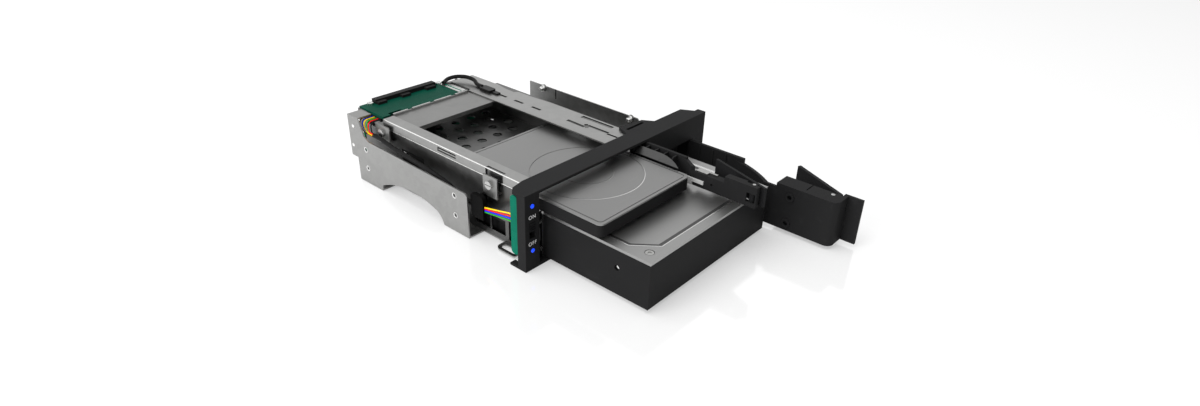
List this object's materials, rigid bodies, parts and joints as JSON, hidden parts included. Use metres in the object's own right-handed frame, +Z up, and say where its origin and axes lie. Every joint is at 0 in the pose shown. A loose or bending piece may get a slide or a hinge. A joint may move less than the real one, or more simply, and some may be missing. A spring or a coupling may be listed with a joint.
{
  "type": "hot swap drive cage",
  "caption": "Bay cage for a 3.5 inch and a 2.5 inch drive, with swing doors, latch levers, sliding drives, status column and sheet metal frame.",
  "frame": {"origin": "bottom centre of the front panel's face, where the cage slides into its bay", "axes": "+X to the right seen from the front, +Y from the front panel to the rear, +Z up"},
  "size_m": [0.1519, 0.2806, 0.0453],
  "materials": {
    "black_plastic": "fine moulded texture",
    "blue_lens": "diffused lens",
    "galvanised": "zinc plated sheet, bright edges",
    "bright_steel": "plated",
    "blackened_steel": "black zinc",
    "green_board": "solder mask",
    "drive_black": "painted casting",
    "drive_silver": "satin",
    "cable_black": "matt",
    "wire_brown": "satin",
    "wire_blue": "satin",
    "wire_yellow": "satin",
    "wire_green": "satin",
    "wire_red": "satin",
    "connector_plastic": "moulded"
  },
  "bodies": {
    "cage": {"backplane_35": "green_board", "base_plate": "galvanised", "bay_guides": "black_plastic", "bezel": "black_plastic", "board_screws": "bright_steel", "cable_clip": "black_plastic", "cable_sleeve": "cable_black", "catch_plate": "blackened_steel", "catch_screws": "bright_steel", "divider_plate": "galvanised", "guide_wall_25": "galvanised", "hinge_pin_25": "bright_steel", "hinge_pin_35": "bright_steel", "led_board": "green_board", "led_lenses": "blue_lens", "led_wire_blue": "wire_blue", "led_wire_green": "wire_green", "led_wire_red": "wire_red", "led_wire_yellow": "wire_yellow", "left_bay_wall": "galvanised", "left_side_bracket": "galvanised", "left_top_rail": "galvanised", "rail_brackets": "galvanised", "rail_screws": "bright_steel", "rear_board": "green_board", "rear_cable_loop": "cable_black", "rear_cable_plug": "connector_plastic", "rear_cross_plate": "galvanised", "rear_slot_connector": "connector_plastic", "rear_sockets": "connector_plastic", "ribbon_cable": "cable_black", "right_bay_wall": "galvanised", "right_side_bracket": "galvanised", "right_top_rail": "galvanised", "socket_25": "connector_plastic", "socket_35": "connector_plastic", "switch_housing": "black_plastic", "wire_black": "cable_black", "wire_blue": "wire_blue", "wire_brown": "wire_brown", "wire_green": "wire_green", "wire_header": "connector_plastic", "wire_red": "wire_red", "wire_yellow": "wire_yellow"},
    "door_35": {"door_35": "black_plastic", "door_35_screws": "blackened_steel", "lever_35_pin": "bright_steel"},
    "lever_35": {"lever_35": "black_plastic"},
    "door_25": {"door_25": "black_plastic", "pressure_plate_25": "bright_steel", "hook_tab_25": "bright_steel", "leaf_spring_25": "bright_steel", "lever_25_pin": "bright_steel"},
    "lever_25": {"lever_25": "black_plastic"},
    "drive_35": {"drive_35_body": "drive_black", "drive_35_cover": "drive_silver", "drive_35_screws": "bright_steel"},
    "drive_25": {"drive_25_body": "drive_black", "drive_25_cover": "drive_silver"},
    "power_switch": {"switch_knob": "black_plastic"}
  },
  "joints": [
    {"name": "drive_35_slide", "type": "slide", "parent": "cage", "child": "drive_35", "axis": [0, 1, 0], "range_m": [0, 0.0785]},
    {"name": "door_35_hinge", "type": "hinge", "parent": "cage", "child": "door_35", "pos_m": [0.053, 0.0095, 0.015], "axis": [0, 0, -1], "range_deg": [0, 57]},
    {"name": "lever_35_pivot", "type": "hinge", "parent": "door_35", "child": "lever_35", "pos_m": [0.057, -0.0932, 0.015], "axis": [0, 0, 1], "range_deg": [0, 26]},
    {"name": "drive_25_slide", "type": "slide", "parent": "cage", "child": "drive_25", "axis": [0, 1, 0], "range_m": [0, 0.0801]},
    {"name": "door_25_hinge", "type": "hinge", "parent": "cage", "child": "door_25", "pos_m": [0.0149, 0.004, 0.035], "axis": [0, 0, -1], "range_deg": [0, 90]},
    {"name": "lever_25_pivot", "type": "hinge", "parent": "door_25", "child": "lever_25", "pos_m": [0.0155, -0.069, 0.035], "axis": [0, 0, 1], "range_deg": [0, 18]},
    {"name": "power_switch_slide", "type": "slide", "parent": "cage", "child": "power_switch", "axis": [0, 0, -1], "range_m": [0, 0.004]}
  ],
  "couplings": [
    {"joint": "door_35_hinge", "follows": "drive_35_slide", "rad_per_m": 12.658},
    {"joint": "door_25_hinge", "follows": "drive_25_slide", "rad_per_m": 19.608}
  ]
}
